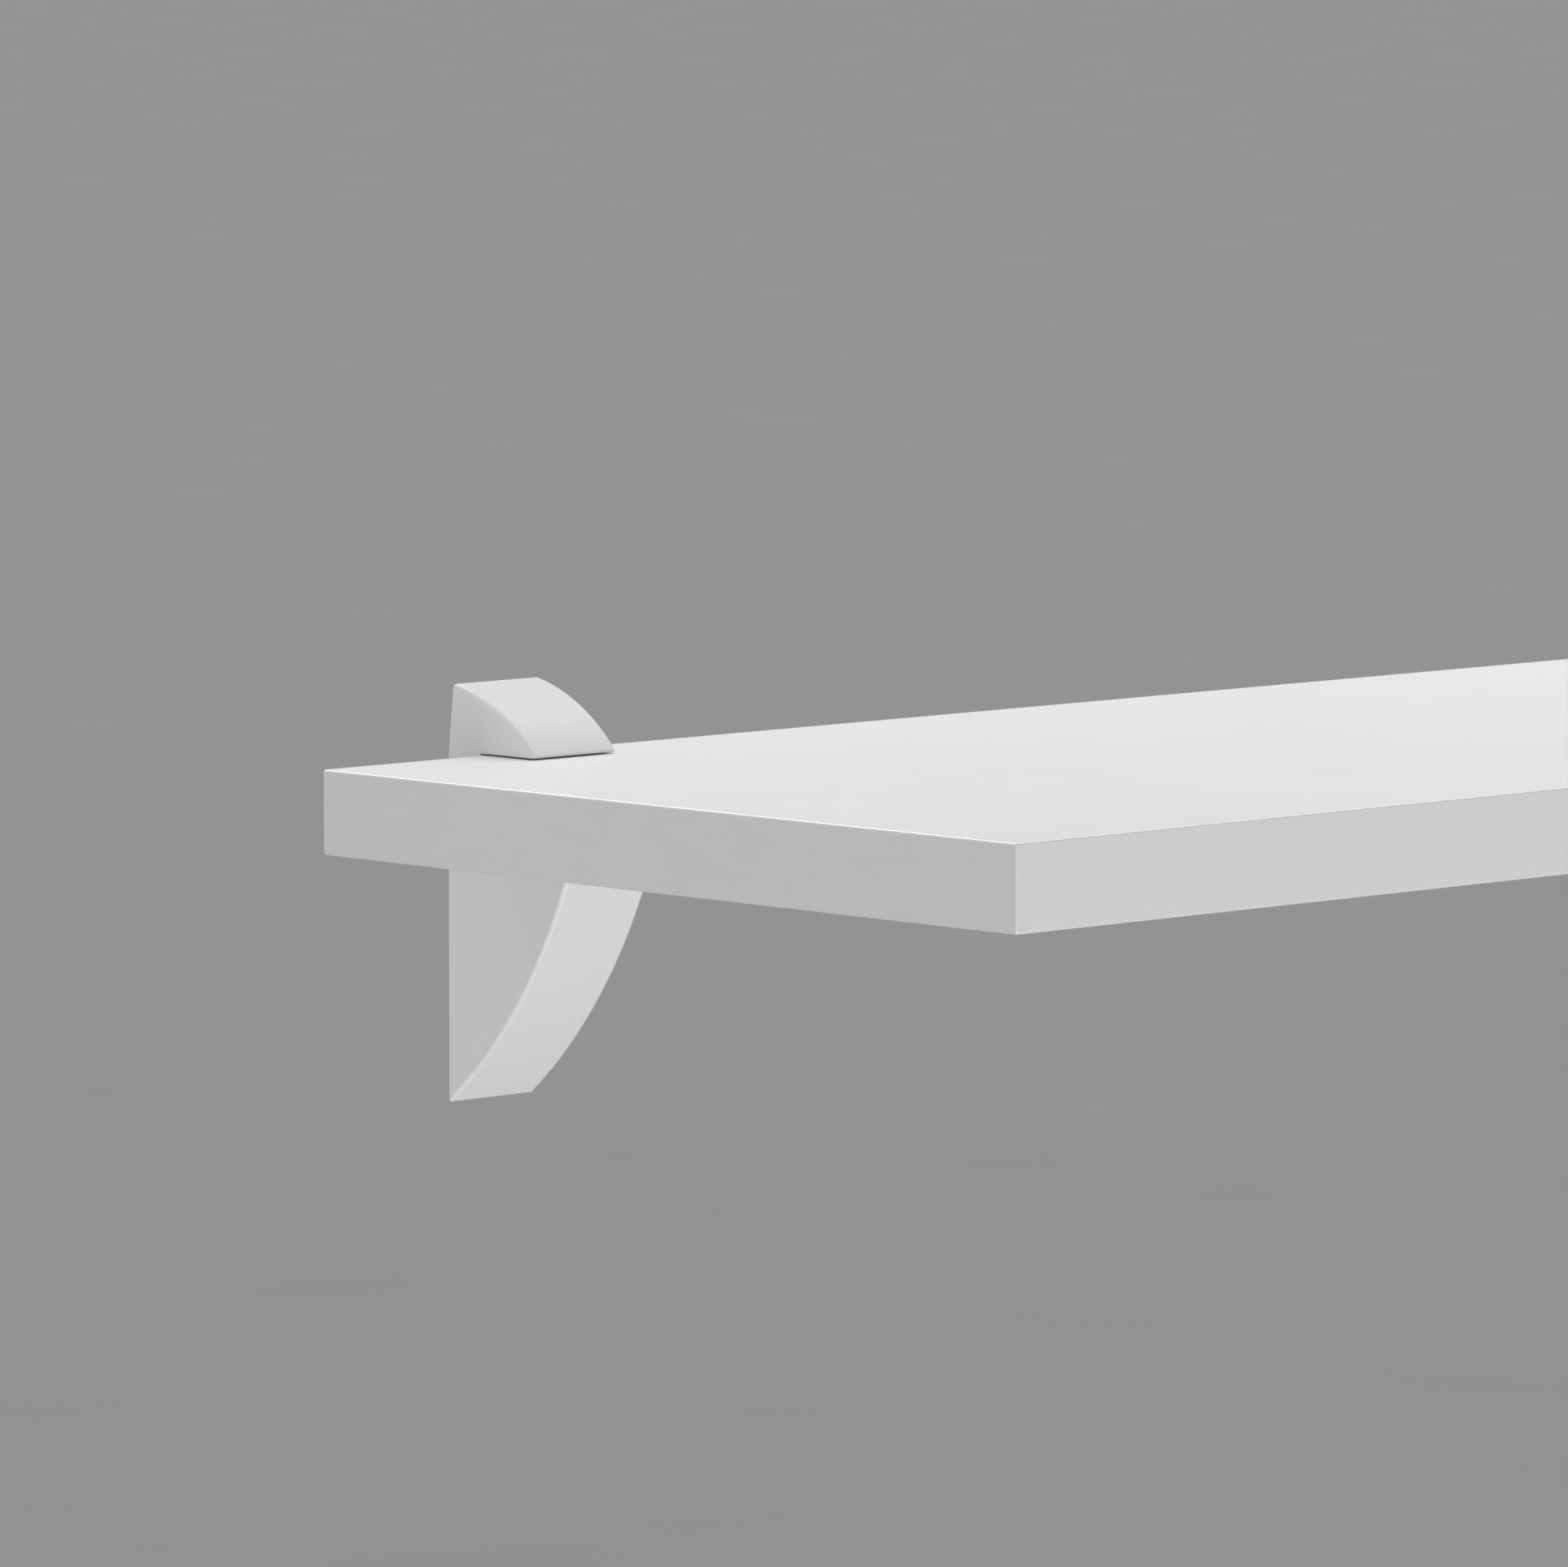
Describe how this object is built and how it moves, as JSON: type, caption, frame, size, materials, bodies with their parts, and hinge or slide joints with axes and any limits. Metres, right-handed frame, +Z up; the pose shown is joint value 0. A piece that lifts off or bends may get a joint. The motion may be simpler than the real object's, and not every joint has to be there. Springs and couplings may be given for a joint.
{
  "type": "wall shelf with brackets",
  "caption": "White melamine shelf board clamped along its back edge by two low wall brackets, each a fin-shaped cover below the board and a small rounded hood above it.",
  "frame": {"origin": "centre of the four wall screw holes, on the wall's face, midway between the two brackets and level with the board's underside", "axes": "+X along the board, +Y into the wall, +Z up"},
  "size_m": [0.8, 0.263, 0.1092],
  "materials": {
    "melamine": "satin white melamine with a very fine grain",
    "edge_band": "satin white ABS edge band",
    "chipboard": "raw pressed chips",
    "white_cover": "satin white moulded plastic",
    "white_casting": "white powder coat over a zinc die casting",
    "zinc_steel": "zinc-plated",
    "spring_steel": "dark phosphated",
    "pad_rubber": "matt soft rubber"
  },
  "bodies": {
    "carriers": {"carrier_left": "white_casting", "carrier_right": "white_casting", "lower_pad_left": "pad_rubber", "lower_pad_right": "pad_rubber", "clamp_nut_left": "zinc_steel", "clamp_nut_right": "zinc_steel"},
    "board": {"board_core": "chipboard", "board_top_face": "melamine", "board_bottom_face": "melamine", "board_front_band": "edge_band", "board_back_band": "edge_band", "board_left_band": "edge_band", "board_right_band": "edge_band"},
    "clamp_left": {"clamp_jaw_left": "white_casting", "upper_pad_left": "pad_rubber", "screw_washer_left": "zinc_steel"},
    "screw_left": {"clamp_screw_left": "zinc_steel", "retaining_clip_left": "spring_steel"},
    "hood_left": {"hood_cover_left": "white_cover"},
    "fin_left": {"fin_cover_left": "white_cover"},
    "clamp_right": {"clamp_jaw_right": "white_casting", "upper_pad_right": "pad_rubber", "screw_washer_right": "zinc_steel"},
    "screw_right": {"clamp_screw_right": "zinc_steel", "retaining_clip_right": "spring_steel"},
    "hood_right": {"hood_cover_right": "white_cover"},
    "fin_right": {"fin_cover_right": "white_cover"}
  },
  "joints": [
    {"name": "board_slide", "type": "slide", "parent": "carriers", "child": "board", "axis": [0, -1, 0], "range_m": [0, 0.036]},
    {"name": "jaw_slide_left", "type": "slide", "parent": "carriers", "child": "clamp_left", "axis": [0, 0, 1], "range_m": [0, 0.014]},
    {"name": "screw_turn_left", "type": "hinge", "parent": "clamp_left", "child": "screw_left", "pos_m": [-0.3312, -0.0078, 0.0275], "axis": [0, 0, 1], "range_deg": [0, 6300]},
    {"name": "hood_lift_left", "type": "slide", "parent": "clamp_left", "child": "hood_left", "axis": [0, 0, 1], "range_m": [0, 0.018]},
    {"name": "fin_slide_left", "type": "slide", "parent": "carriers", "child": "fin_left", "axis": [0, -1, 0], "range_m": [0, 0.045]},
    {"name": "jaw_slide_right", "type": "slide", "parent": "carriers", "child": "clamp_right", "axis": [0, 0, 1], "range_m": [0, 0.014]},
    {"name": "screw_turn_right", "type": "hinge", "parent": "clamp_right", "child": "screw_right", "pos_m": [0.3312, -0.0078, 0.0275], "axis": [0, 0, 1], "range_deg": [0, 6300]},
    {"name": "hood_lift_right", "type": "slide", "parent": "clamp_right", "child": "hood_right", "axis": [0, 0, 1], "range_m": [0, 0.018]},
    {"name": "fin_slide_right", "type": "slide", "parent": "carriers", "child": "fin_right", "axis": [0, -1, 0], "range_m": [0, 0.045]}
  ],
  "couplings": [
    {"joint": "screw_turn_left", "follows": "jaw_slide_left", "rad_per_m": 7854},
    {"joint": "screw_turn_right", "follows": "jaw_slide_right", "rad_per_m": 7854}
  ]
}
